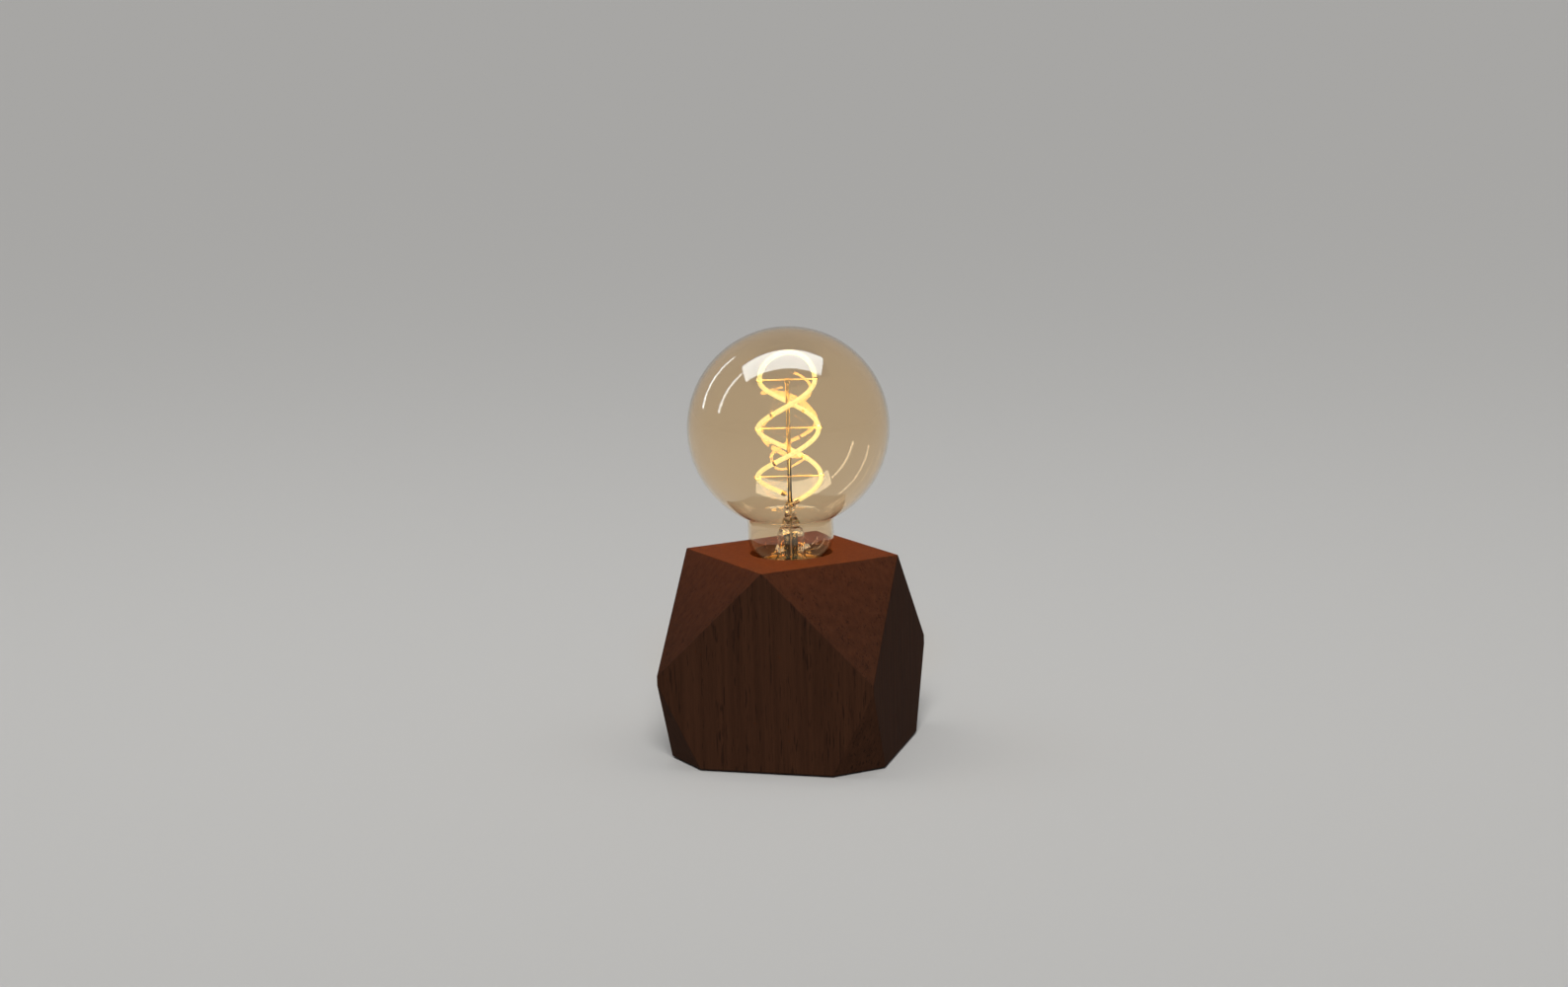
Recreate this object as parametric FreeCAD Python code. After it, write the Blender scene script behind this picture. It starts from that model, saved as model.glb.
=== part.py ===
import FreeCAD, Part
import math
import os
from FreeCAD import Rotation, Vector

# Bare bulb table lamp: a faceted walnut block with an E27 lampholder sunk into its top
# and a 95 mm globe bulb whose flexible filament is wound as a double helix.
# Millimetres, +Z up, -Y to the front. The origin is on the table, under the bulb's axis.

# Wooden block: a square prism with all eight corners cut off
block_half = 51.8          # centre to each upright face
block_top = 95.0           # height of the top face above the table
block_bottom = 1.0         # the block stands on pads this thick
upper_corner = 44.3        # height where each upper cut reaches the block's corner
lower_corner = 41.0        # height where each lower cut reaches the block's corner
base_half = 31.6           # half the width left of each upright face at the bottom
edge_round = 0.7

# Well for the lampholder, recess for the wiring, and the web between them
well_radius = 19.5
well_floor = 30.0
recess_radius = 27.0
recess_roof = 22.0
web_bore = 5.3
cover_radius = 31.7
cover_thickness = 2.2
cover_set_back = 0.3
cover_screw_circle = 29.4
cover_screw_count = 3
pad_radius = 6.0
pad_offset = 36.0

# Cord inlet in the middle of the back face
inlet_height = 12.5
inlet_bore = 3.2
bush_sleeve = 4.15
bush_flange = 7.0
flange_thickness = 2.0
flange_proud = 0.5

# Threaded tube that clamps the lampholder to the web (M10 x 1)
nipple_radius = 5.0
nipple_bore = 3.6
nipple_low = 15.5
nipple_high = 41.0
nut_across_flats = 14.0
nut_thickness = 3.5
washer_radius = 10.0
washer_thickness = 1.4
lock_washer_radius = 9.0
lock_washer_thickness = 0.8

# Lampholder
holder_radius = 18.6
holder_thread_radius = 17.95
holder_wall = 1.6
skirt_radius = 18.9
holder_seam = 42.0
insert_floor = 50.0
insert_flange_top = 53.0
insert_radius = 15.6
socket_floor = 58.5
holder_rim = 88.0
socket_bore = 13.35        # inside radius of the screw shell
socket_metal = 0.4
socket_rim = 86.0
terminal_depth = 1.2

# Bulb: E27 cap and 95 mm globe
tip_height = 63.5
cap_height = 27.0
cap_radius = 12.9          # outside radius of the screw shell
cap_skirt = 13.2
cap_metal = 0.35
contact_stem = 3.0
running_gap = 0.05
globe_radius = 47.5
globe_centre = 154.3
glass_wall = 0.9
neck_radius = 20.2
neck_fillet = 4.0
shoulder_height = 103.0
shoulder_radius = 13.2
collar_radius = 12.4
collar_fillet = 1.0
collar_end = 84.5

# Glass stem and rod inside the bulb
stem_radius = 6.2
stem_wall = 1.1
press_low = 105.0
press_top = 118.5
press_width = 10.0
press_depth = 5.0
rod_radius = 1.0
rod_top = 177.6
exhaust_radius = 3.2
exhaust_bore = 2.3
exhaust_end = 79.0
exhaust_top = 106.5
lead_radius = 0.3
lead_offset = 3.85

# Filament: one flexible tube, two strands half a turn apart joined by an arch
filament_radius = 1.1
filament_turn = 15.7       # the winding's long axis, turned from +X about the bulb's axis
pitch = 46.0
arch_foot = 177.0
arch_rise = 12.8
strand_foot = 121.0
half_width_low = 15.0
half_width_top = 12.9
half_depth_low = 10.5
half_depth_top = 4.5
band_heights = (161.3, 139.0)
band_length = 1.3
band_thickness = 0.18
hook_thickness = 0.35
seat_gap = 0.04            # between the filament and what is slipped over it
support_radius = 0.28
end_cap_length = 2.4

# Driver inside the cap
board_radius = 11.4
board_height = 75.0
board_thickness = 1.2


def plane_point(r, z):
    """A point of a turned piece's half section."""
    return Vector(r, 0, z)


def section(start, *legs):
    """Closed face in the XZ plane. A leg is (r, z), or ((r, z), (r, z)) for an arc
    through its first point to its second."""
    edges = []
    here = start
    for leg in legs + (start,):
        arc = isinstance(leg[0], tuple)
        end = leg[1] if arc else leg
        if math.dist(here, end) > 1e-6:
            if arc:
                middle = plane_point(*leg[0])
                edges.append(Part.Arc(plane_point(*here), middle, plane_point(*end)).toShape())
            else:
                edges.append(Part.LineSegment(plane_point(*here), plane_point(*end)).toShape())
        here = end
    return Part.Face(Part.Wire(edges))


def turned(start, *legs):
    """A solid of revolution about the lamp's upright axis."""
    return section(start, *legs).revolve(Vector(0, 0, 0), Vector(0, 0, 1), 360)


def tube(outer, inner, low, high):
    """A plain ring or sleeve about the lamp's axis."""
    return turned((inner, low), (outer, low), (outer, high), (inner, high))


def rod(radius, low, high, x=0.0, y=0.0):
    """An upright round bar."""
    return Part.makeCylinder(radius, high - low, Vector(x, y, low))


def box(low, high):
    """A block between two corners."""
    size = Vector(*high).sub(Vector(*low))
    return Part.makeBox(size.x, size.y, size.z, Vector(*low))


def around(shape, count, first=0.0):
    """Copies of a shape, evenly spaced about the lamp's axis."""
    copies = []
    for index in range(count):
        copy = shape.copy()
        copy.rotate(Vector(0, 0, 0), Vector(0, 0, 1), first + 360.0 * index / count)
        copies.append(copy)
    return copies


# The base ------------------------------------------------------------------------------

def corner_cut(a, b, c):
    """A thick slab whose lower face is the plane through three points, on the side away
    from the middle of the block."""
    normal = (b - a).cross(c - a).normalize()
    centre = (a + b + c) / 3
    if normal.dot(centre - Vector(0, 0, block_top / 2)) < 0:
        normal = -normal
    slab = Part.makeBox(4 * block_half, 4 * block_half, 2 * block_half,
                        Vector(-2 * block_half, -2 * block_half, 0))
    slab.Placement = FreeCAD.Placement(centre, Rotation(Vector(0, 0, 1), normal))
    return slab


def wood_blank():
    """The solid block with its eight cut corners and eased edges."""
    blank = box((-block_half, -block_half, block_bottom), (block_half, block_half, block_top))
    upper = [Vector(block_half, 0, block_top), Vector(0, block_half, block_top),
             Vector(block_half, block_half, upper_corner)]
    lower = [Vector(block_half, base_half, block_bottom), Vector(base_half, block_half, block_bottom),
             Vector(block_half, block_half, lower_corner)]
    for quarter in range(4):
        spin = Rotation(Vector(0, 0, 1), 90 * quarter)
        for triangle in (upper, lower):
            blank = blank.cut(corner_cut(*[spin.multVec(corner) for corner in triangle]))
    solid = blank.removeSplitter().Solids[0]
    return solid.makeFillet(edge_round, solid.Edges)


def wood_body():
    """Well from the top, recess from below, the nipple's hole and the cord's hole."""
    well = turned((0, well_floor), (well_radius, well_floor), (well_radius, block_top - 0.6),
                  (well_radius + 0.6, block_top), (well_radius + 0.6, block_top + 1), (0, block_top + 1))
    recess = rod(recess_radius, 0, recess_roof)
    rabbet = rod(cover_radius + 0.3, 0, block_bottom + cover_set_back + cover_thickness)
    web_hole = rod(web_bore, recess_roof - 1, well_floor + 1)
    along = Vector(0, 1, 0)
    cord_hole = Part.makeCylinder(bush_sleeve, block_half, Vector(0, recess_radius / 2, inlet_height), along)
    flange_seat = Part.makeCylinder(bush_flange + 0.1, block_half,
                                    Vector(0, block_half + flange_proud - flange_thickness, inlet_height),
                                    along)
    block = wood_blank()
    for hollow in (well, recess, rabbet, web_hole, cord_hole, flange_seat):
        block = block.cut(hollow)
    return block.cut(Part.makeCompound(cover_screws()))


def cover_screws():
    """Countersunk wood screws that hold the cover in its rabbet."""
    low = block_bottom + cover_set_back
    screw = turned((0, low), (2.9, low), (1.4, low + 1.6), (1.4, low + 10.0), (0, low + 12.0))
    screw.translate(Vector(cover_screw_circle, 0, 0))
    return around(screw, cover_screw_count, 30.0)


def bottom_cover():
    """The disc that closes the wiring recess."""
    low = block_bottom + cover_set_back
    high = low + cover_thickness
    disc = turned((0, low), (cover_radius - 0.5, low), (cover_radius, low + 0.5), (cover_radius, high),
                  (0, high))
    return disc.cut(Part.makeCompound(cover_screws()))


def foot_pads():
    """Four round pads under the block's corners."""
    pad = rod(pad_radius, 0, block_bottom, pad_offset, pad_offset)
    return around(pad, 4)


def cord_bush():
    """Flanged sleeve that lines the cord's hole in the back of the block."""
    outer = block_half + flange_proud
    inner = recess_radius
    profile = turned((inlet_bore + 0.5, -outer), (bush_flange - 0.8, -outer),
                     (bush_flange, -outer + 0.8), (bush_flange, -outer + flange_thickness),
                     (bush_sleeve, -outer + flange_thickness), (bush_sleeve, -inner),
                     (inlet_bore, -inner), (inlet_bore, -outer + 0.5))
    profile.rotate(Vector(0, 0, 0), Vector(1, 0, 0), 90)
    profile.translate(Vector(0, 0, inlet_height))
    return profile


# The lampholder ------------------------------------------------------------------------

def threaded_nipple():
    """Hollow threaded tube through the web; the cord passes through it."""
    chamfer = 0.5
    return turned((nipple_bore, nipple_low), (nipple_radius - chamfer, nipple_low),
                  (nipple_radius, nipple_low + chamfer), (nipple_radius, nipple_high - chamfer),
                  (nipple_radius - chamfer, nipple_high), (nipple_bore, nipple_high))


def nipple_washer():
    """Flat washer that spreads the nut's load on the roof of the recess."""
    return tube(washer_radius, nipple_radius + 0.1, recess_roof - washer_thickness, recess_roof)


def nipple_nut():
    """Thin hexagon nut with chamfered corners."""
    top = recess_roof - washer_thickness
    low = top - nut_thickness
    corner = nut_across_flats / math.sqrt(3)
    points = [Vector(corner * math.cos(k * math.pi / 3), corner * math.sin(k * math.pi / 3), low)
              for k in range(7)]
    hexagon = Part.Face(Part.makePolygon(points)).extrude(Vector(0, 0, nut_thickness))
    bevel = turned((0, low), (corner - 0.9, low), (corner, low + 0.6), (corner, top), (0, top))
    return hexagon.common(bevel).cut(rod(nipple_radius, low, top))


def lock_washer():
    """Lock washer between the web and the lampholder."""
    return tube(lock_washer_radius, nipple_radius + 0.1, well_floor, well_floor + lock_washer_thickness)


def holder_cap():
    """The lampholder's lower cup, with the threaded collar that grips the nipple."""
    low = well_floor + lock_washer_thickness
    collar = 7.5
    inner = holder_thread_radius - holder_wall
    corner = 2.5
    cup = turned((nipple_radius, low), (holder_radius - corner, low),
                 (holder_radius, low + corner),
                 (holder_radius, holder_seam - 0.2), (holder_thread_radius, holder_seam - 0.2),
                 (holder_thread_radius, insert_floor), (inner, insert_floor), (inner, low + 2.5),
                 (collar, low + 2.5), (collar, nipple_high), (nipple_radius, nipple_high))
    return cup.cut(holder_grub_screw())


def holder_grub_screw():
    """Small screw through the collar that stops the nipple from turning."""
    start = nipple_radius + 0.02
    centre = Vector(0, start, well_floor + 8.0)
    return Part.makeCylinder(1.45, 2.9, centre, Vector(0, 1, 0))


def holder_shell():
    """The outer skirt that screws over the cup and clamps the insert."""
    inner_low = holder_thread_radius + 0.05
    inner_mid = insert_radius + 1.3
    inner_top = insert_radius + 0.4
    outer_top = skirt_radius - 0.9
    return turned((inner_low, holder_seam), (skirt_radius, holder_seam), (skirt_radius, 54.0),
                  (outer_top, 56.0), (outer_top, holder_rim - 0.8), (outer_top - 0.8, holder_rim),
                  (socket_bore + 1.6, holder_rim), (socket_bore + 1.6, holder_rim - 1.4),
                  (inner_top, holder_rim - 2.6), (inner_top, insert_flange_top),
                  (inner_mid, insert_flange_top), (inner_mid, insert_floor), (inner_low, insert_floor))


def terminal_x(side):
    """Where each terminal screw stands: -1 is the centre contact, +1 the screw shell."""
    return -10.6 if side < 0 else 9.0


def holder_insert():
    """Ceramic block that carries the contacts and the screw shell."""
    wall = insert_radius - 1.4
    block = turned((0, insert_floor), (insert_radius + 1.2, insert_floor),
                   (insert_radius + 1.2, insert_flange_top), (insert_radius, insert_flange_top),
                   (insert_radius, socket_floor + 8.5), (wall, socket_floor + 8.5), (wall, socket_floor),
                   (0, socket_floor))
    metal = [socket_centre_contact(), socket_side_contact()] + terminal_screws()
    return block.cut(Part.makeCompound(metal))


def socket_thread_shell():
    """The lampholder's screw shell, with a flat bottom flange and a flared mouth."""
    outer = socket_bore + socket_metal
    flange = socket_floor + socket_metal
    return turned((9.0, socket_floor), (outer, socket_floor), (outer, socket_rim - 1.0),
                  (outer + 0.5, socket_rim), (socket_bore + 0.5, socket_rim),
                  (socket_bore, socket_rim - 1.0), (socket_bore, flange), (9.0, flange))


def socket_centre_contact():
    """Bent spring tongue under the bulb's tip, with its leg down to the terminal."""
    metal = 0.5
    floor = socket_floor
    lift = tip_height - 0.15
    leg = -7.2
    points = [(leg - metal, insert_floor), (leg, insert_floor), (leg, floor), (-4.0, floor),
              (1.5, lift - metal - 0.05), (3.6, lift - metal - 0.6), (3.8, lift - 0.6), (1.4, lift),
              (-4.2, floor + metal), (leg - metal, floor + metal)]
    corners = [Vector(x, -2.5, z) for x, z in points]
    return Part.Face(Part.makePolygon(corners + corners[:1])).extrude(Vector(0, 5.0, 0))


def socket_side_contact():
    """Flat strip from the second terminal up to the screw shell's flange."""
    return box((12.2, -2.5, insert_floor), (13.0, 2.5, socket_floor))


def terminal_plates():
    """Two brass plates under the insert that the wires are clamped to."""
    low = insert_floor - terminal_depth
    plates = [box((-13.4, -3.2, low), (-6.6, 3.2, insert_floor)),
              box((6.6, -3.2, low), (13.4, 3.2, insert_floor))]
    screws = Part.makeCompound(terminal_screws())
    return [plate.cut(screws) for plate in plates]


def terminal_screws():
    """Clamping screws with their heads down."""
    screws = []
    low = insert_floor - terminal_depth - 2.0
    for side in (-1, 1):
        x = terminal_x(side)
        screws.append(rod(2.6, low, low + 2.0, x).fuse(rod(1.5, low + 2.0, low + 8.5, x)))
    return screws


# The bulb ------------------------------------------------------------------------------

def outside_fillet(line_r, centre_r, centre_z, radius, fillet):
    """A hollow fillet between an upright line and a circle above it. Gives its tangent
    point on the line, its middle and its tangent point on the circle."""
    hub_r = line_r + fillet
    reach = radius + fillet
    hub_z = centre_z - math.sqrt(reach ** 2 - (hub_r - centre_r) ** 2)
    touch_r = hub_r + (centre_r - hub_r) * fillet / reach
    touch_z = hub_z + (centre_z - hub_z) * fillet / reach
    half = (math.pi + math.atan2(touch_z - hub_z, touch_r - hub_r)) / 2
    middle = (hub_r + fillet * math.cos(half), hub_z + fillet * math.sin(half))
    return (line_r, hub_z), middle, (touch_r, touch_z)


def glass_form(inset, foot):
    """The bulb's outline as a full solid: collar, shoulder, neck, fillet and globe."""
    collar = collar_radius - inset
    neck = neck_radius - inset
    globe = globe_radius - inset
    hub = neck_radius - shoulder_radius
    shoulder = shoulder_radius - inset
    low, low_middle, low_touch = outside_fillet(collar, hub, shoulder_height, shoulder,
                                                collar_fillet + inset)
    start = math.atan2(low_touch[1] - shoulder_height, low_touch[0] - hub)
    shoulder_middle = (hub + shoulder * math.cos(start / 2), shoulder_height + shoulder * math.sin(start / 2))
    high, high_middle, high_touch = outside_fillet(neck, 0, globe_centre, globe, neck_fillet + inset)
    return turned((0, foot), (collar, foot), low, (low_middle, low_touch),
                  (shoulder_middle, (neck, shoulder_height)), high, (high_middle, high_touch),
                  ((globe, globe_centre), (0, globe_centre + globe)))


def bulb_glass():
    """The blown envelope, open at the bottom of its collar."""
    return glass_form(0, collar_end).cut(glass_form(glass_wall, collar_end - 1))


def stem_press():
    """The squeezed top of the stem: a drawn-in round bar with two flats, widest along Y
    where the two leads lie."""
    half = press_width / 2
    neck = press_low + stem_radius - half + 2.0
    bar = turned((0, press_low), (stem_radius, press_low), (half, neck), (half, press_top - 0.8),
                 (half - 0.8, press_top), (0, press_top))
    for side in (-1, 1):
        flat = box((press_depth / 2, -stem_radius, neck - 1.0), (stem_radius + 1, stem_radius, press_top + 1))
        if side < 0:
            flat = flat.mirror(Vector(0, 0, 0), Vector(1, 0, 0))
        bar = bar.cut(flat)
    return in_filament_frame(bar)


def bulb_stem():
    """Flared glass tube with its flattened press, pierced by the wires, rod and exhaust."""
    collar = collar_radius - glass_wall
    bore = stem_radius - stem_wall
    flare = turned((collar - stem_wall, collar_end), (collar, collar_end), (collar, collar_end + 1.5),
                   (stem_radius + 1.9, 90.0), (stem_radius, 96.0), (stem_radius, press_low),
                   (bore, press_low), (bore, 95.5), (stem_radius + 0.8, 89.5))
    exhaust_hole = rod(exhaust_radius, press_low - 1, exhaust_top)
    pierced = Part.makeCompound(lead_in_wires() + [centre_rod(), exhaust_hole])
    return flare.fuse(stem_press()).cut(pierced)


def in_filament_frame(shape):
    """Turns a shape with the winding about the bulb's axis."""
    copy = shape.copy()
    copy.rotate(Vector(0, 0, 0), Vector(0, 0, 1), filament_turn)
    return copy


def exhaust_tube():
    """The thin tube the air was drawn through, closed with a drawn-out tip."""
    tip = exhaust_end
    return turned((0, tip), (exhaust_radius * 0.4, tip + 0.1), (exhaust_radius * 0.8, tip + 1.2),
                  (exhaust_radius, tip + 2.4), (exhaust_radius, exhaust_top), (exhaust_bore, exhaust_top),
                  (exhaust_bore, tip + 3.6), (0, tip + 2.4))


def centre_rod():
    """Glass rod on the press, with a button that holds the top support."""
    foot = press_top - 7.0
    button = rod_radius + 0.4
    return turned((0, foot), (rod_radius, foot), (rod_radius, rod_top - 2.4), (button, rod_top - 1.8),
                  (button, rod_top - 0.5), (rod_radius, rod_top), (0, rod_top))


def strand_point(strand, height):
    """The centre line of a strand: an elliptical helix whose half axes shrink towards the
    top with the square of the height. Strand 1 is half a turn from strand 0."""
    up = (height - strand_foot) / (arch_foot - strand_foot)
    half_width = half_width_low - (half_width_low - half_width_top) * up ** 2
    half_depth = half_depth_low - (half_depth_low - half_depth_top) * up ** 2
    angle = 2 * math.pi * (height - arch_foot) / pitch + math.pi * strand
    return Vector(half_width * math.cos(angle), half_depth * math.sin(angle), height)


def arch_point(share):
    """The arch from strand 0 to strand 1: half an ellipse in front view that leaves each
    strand along its own direction, so it is a flat S in plan."""
    angle = math.pi * share
    sway = arch_rise * half_depth_top * math.pi / pitch
    return Vector(half_width_top * math.cos(angle), sway * math.sin(2 * angle),
                  arch_foot + arch_rise * math.sin(angle))


def filament_point(place):
    """The whole centre line: -1 to 0 up strand 0, 0 to 1 the arch, 1 to 2 down strand 1."""
    if place < 0:
        return strand_point(0, arch_foot + place * (arch_foot - strand_foot))
    if place > 1:
        return strand_point(1, arch_foot - (place - 1) * (arch_foot - strand_foot))
    return arch_point(place)


def filament_direction(place):
    """Unit tangent of the centre line, in the sense of growing place."""
    step = 1e-5
    here = min(max(place, -1 + step), 2 - step)
    return (filament_point(here + step) - filament_point(here - step)).normalize()


def tangent_arc(start, direction, end):
    """The arc from start to end that leaves start along a direction."""
    chord = end - start
    reach = chord.Length
    along = chord / reach
    side = direction - along * direction.dot(along)
    angle = math.acos(max(-1.0, min(1.0, direction.dot(along))))
    middle = (start + end) / 2 + side.normalize() * (reach / 2 * math.tan(angle / 2))
    return Part.Arc(start, middle, end).toShape()


def biarc(start, leave, end, arrive):
    """Two arcs with a common tangent from one point and direction to another."""
    chord = end - start
    both = leave + arrive
    spread = 2 * (1 - leave.dot(arrive))
    dot = chord.dot(both)
    reach = (-dot + math.sqrt(dot ** 2 + spread * chord.dot(chord))) / spread
    joint = (start + leave * reach + end - arrive * reach) / 2
    first = tangent_arc(start, leave, joint)
    second = tangent_arc(end, -arrive, joint)
    return [first, second]


def filament_places():
    """Span ends along the centre line: quarter turns down each strand, and the arch in
    four."""
    quarter = pitch / 4 / (arch_foot - strand_foot)
    fall = [k * quarter for k in range(1, math.ceil(1 / quarter))] + [1.0]
    climb = [-share for share in reversed(fall)]
    arch = [k / 4 for k in range(5)]
    return climb + arch + [1 + share for share in fall]


def filament_path():
    """The filament's centre line as one wire of arcs."""
    places = filament_places()
    edges = []
    for a, b in zip(places, places[1:]):
        edges += biarc(filament_point(a), filament_direction(a), filament_point(b), filament_direction(b))
    return Part.Wire(Part.__sortEdges__(edges))


def filament():
    """One unbroken tube along biarcs, swept with a plain round section."""
    path = filament_path()
    ring = Part.Wire(Part.makeCircle(filament_radius, filament_point(-1), filament_direction(-1)))
    swept = path.makePipeShell([ring], True, False)
    expected = math.pi * filament_radius ** 2 * path.Length
    print("filament: length %.1f, volume over section times length %.4f"
          % (path.Length, swept.Volume / expected))
    return in_filament_frame(swept)


def least_gap():
    """The filament's least gap to itself, on points that lie a quarter turn or more apart."""
    points = [filament_point(-1 + 3 * k / 600) for k in range(601)]
    apart = 12.0
    travelled = [0.0]
    for a, b in zip(points, points[1:]):
        travelled.append(travelled[-1] + (b - a).Length)
    gaps = []
    for i, a in enumerate(points):
        for j in range(i + 1, len(points)):
            if travelled[j] - travelled[i] > apart:
                gaps.append((points[j] - a).Length)
    return min(gaps) - 2 * filament_radius


def sleeve(place, length, thickness):
    """A short collar round the filament, on the point of its path nearest to a place."""
    direction = filament_direction(place)
    nearest = filament_path().distToShape(Part.Vertex(filament_point(place)))[1][0][0]
    start = nearest - direction * (length / 2)
    collar = Part.makeCylinder(filament_radius + thickness, length, start, direction)
    return collar.cut(Part.makeCylinder(filament_radius + seat_gap, length, start, direction))


def strand_place(strand, height):
    """Place along the centre line of a height on one strand."""
    share = (arch_foot - height) / (arch_foot - strand_foot)
    return -share if strand == 0 else 1 + share


def filament_bands():
    """Metal bands where the filament's sections are joined."""
    return [in_filament_frame(sleeve(strand_place(strand, height), band_length, band_thickness))
            for height in band_heights for strand in (0, 1)]


def filament_end_caps():
    """Metal caps crimped on the filament's two ends."""
    caps = []
    for place in (-1, 2):
        outward = filament_direction(place) * (-1 if place < 0 else 1)
        end = filament_point(place)
        back = end - outward * (end_cap_length / 2)
        cap = Part.makeCylinder(filament_radius + 0.2, end_cap_length, back, outward)
        socket = Part.makeCylinder(filament_radius + seat_gap, end_cap_length / 2, back, outward)
        caps.append(in_filament_frame(cap.cut(socket)))
    return caps


def support_heights():
    """The cross wires stand where the strands are at their widest, half a pitch apart."""
    return [arch_foot - 0.5 * pitch * k for k in range(3)]


def filament_supports():
    """Three cross wires through the rod, each with a hook round both strands."""
    supports = []
    for height in support_heights():
        half = abs(strand_point(0, height).x) - filament_radius - seat_gap
        bar = Part.makeCylinder(support_radius, 2 * half, Vector(-half, 0, height), Vector(1, 0, 0))
        for strand in (0, 1):
            bar = bar.fuse(sleeve(strand_place(strand, height), 0.7, hook_thickness))
        supports.append(in_filament_frame(bar))
    return supports


def rounded_path(points, bend):
    """Straight runs joined by tangent arcs of one radius."""
    edges = []
    here = points[0]
    for before, corner, after in zip(points, points[1:], points[2:]):
        back = (before - corner).normalize()
        ahead = (after - corner).normalize()
        half = math.acos(back.dot(ahead)) / 2
        trim = bend / math.tan(half)
        start = corner + back * trim
        end = corner + ahead * trim
        inward = (back + ahead).normalize()
        middle = corner + inward * (bend / math.sin(half) - bend)
        edges.append(Part.LineSegment(here, start).toShape())
        edges.append(Part.Arc(start, middle, end).toShape())
        here = end
    edges.append(Part.LineSegment(here, points[-1]).toShape())
    return Part.Wire(edges)


def lead_in_wires():
    """From each end of the filament into the press and down the stem to the driver."""
    leads = []
    for place, side in ((-1, 0), (2, 180)):
        end = filament_point(place)
        outward = filament_direction(place) * (-1 if place < 0 else 1)
        start = end + outward * (end_cap_length / 2)
        inner = Vector(0, math.copysign(lead_offset, end.y), 0)
        points = [start, start + outward * 2.2,
                  inner + Vector(0, 0, press_top + 0.4), inner + Vector(0, 0, board_height + board_thickness)]
        path = rounded_path(points, 1.0)
        ring = Part.Wire(Part.makeCircle(lead_radius, start, outward))
        leads.append(in_filament_frame(path.makePipeShell([ring], True, False)))
    return leads


def cap_rim():
    """Height of the cap's upper edge."""
    return tip_height + cap_height


def bulb_cap_shell():
    """The bulb's screw shell: turned-in bottom, plain skirt and flared rim."""
    rim = cap_rim()
    low = tip_height + 5.5
    inner = cap_radius - cap_metal
    skirt = cap_skirt - cap_metal
    return turned((9.5, low), (cap_radius - 0.9, low), (cap_radius, low + 1.2), (cap_radius, rim - 5.3),
                  (cap_skirt, rim - 4.5), (cap_skirt, rim - 0.9), (cap_skirt + 0.6, rim),
                  (cap_skirt + 0.2, rim), (skirt, rim - 0.9), (skirt, rim - 4.5), (inner, rim - 5.3),
                  (inner, low + 1.4), (cap_radius - 1.2, low + 0.4), (9.5, low + 0.4))


def cap_cement():
    """Ring of cement between the glass collar and the cap's skirt."""
    rim = cap_rim()
    return tube(cap_skirt - cap_metal, collar_radius, rim - 4.4, rim - 1.2)


def cap_insulator():
    """Black glass cone between the screw shell and the tip contact."""
    low = tip_height + 1.1
    shell = tip_height + 5.5
    bore = contact_stem + running_gap
    return turned((bore, low), (5.2, low), (11.4, shell - 0.6), (11.4, shell), (9.5, shell),
                  (9.5, shell + 0.4), (11.2, shell + 0.4), (11.2, shell + 1.5), (7.5, shell + 1.5),
                  (5.0, shell - 2.0), (bore, shell - 2.0))


def tip_contact():
    """Round contact button under the insulator; a body of revolution on the bulb's axis."""
    low = tip_height
    head = 1.1 - running_gap
    return turned((0, low), (3.6, low), (4.8, low + 0.5), (4.8, low + head),
                  (contact_stem, low + head), (contact_stem, low + 4.0), (0, low + 4.0))


def driver_board():
    """Round circuit board in the cap, drilled for the two leads."""
    board = rod(board_radius, board_height, board_height + board_thickness)
    notch = box((board_radius - 1.2, -1.5, board_height - 1), (board_radius + 1, 1.5, board_height + 3))
    return board.cut(notch)


def driver_capacitor():
    """Smoothing capacitor: an upright can."""
    foot = board_height + board_thickness
    return rod(3.0, foot, foot + 7.5, -6.6, -2.8)


def driver_chips():
    """Rectifier and regulator above the board, fusible resistor below it."""
    foot = board_height + board_thickness
    rectifier = box((3.4, -2.4, foot), (8.0, 1.6, foot + 1.8))
    regulator = box((-6.0, 4.2, foot), (-1.2, 8.0, foot + 1.6))
    resistor = Part.makeCylinder(1.1, 6.0, Vector(-3.0, 0, board_height - 1.1), Vector(1, 0, 0))
    return [rectifier, regulator, resistor]


def build():
    """Every piece of the lamp under its own name."""
    supports = filament_supports()
    pieces = {
        "wood_body": wood_body(),
        "bottom_cover": bottom_cover(),
        "cover_screws": cover_screws(),
        "foot_pads": foot_pads(),
        "cord_bush": cord_bush(),
        "threaded_nipple": threaded_nipple(),
        "nipple_washer": nipple_washer(),
        "nipple_nut": nipple_nut(),
        "lock_washer": lock_washer(),
        "holder_cap": holder_cap(),
        "holder_grub_screw": holder_grub_screw(),
        "holder_shell": holder_shell(),
        "holder_insert": holder_insert(),
        "socket_thread_shell": socket_thread_shell(),
        "socket_centre_contact": socket_centre_contact(),
        "socket_side_contact": socket_side_contact(),
        "terminal_plates": terminal_plates(),
        "terminal_screws": terminal_screws(),
        "bulb_glass": bulb_glass(),
        "bulb_stem": bulb_stem(),
        "exhaust_tube": exhaust_tube(),
        "centre_rod": centre_rod().cut(Part.makeCompound(supports)),
        "filament": filament(),
        "filament_bands": filament_bands(),
        "filament_end_caps": filament_end_caps(),
        "filament_supports": supports,
        "lead_in_wires": lead_in_wires(),
        "bulb_cap_shell": bulb_cap_shell(),
        "cap_cement": cap_cement(),
        "cap_insulator": cap_insulator(),
        "tip_contact": tip_contact(),
        "driver_board": driver_board().cut(Part.makeCompound(lead_in_wires())),
        "driver_capacitor": driver_capacitor(),
        "driver_chips": driver_chips(),
    }
    return pieces


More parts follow.
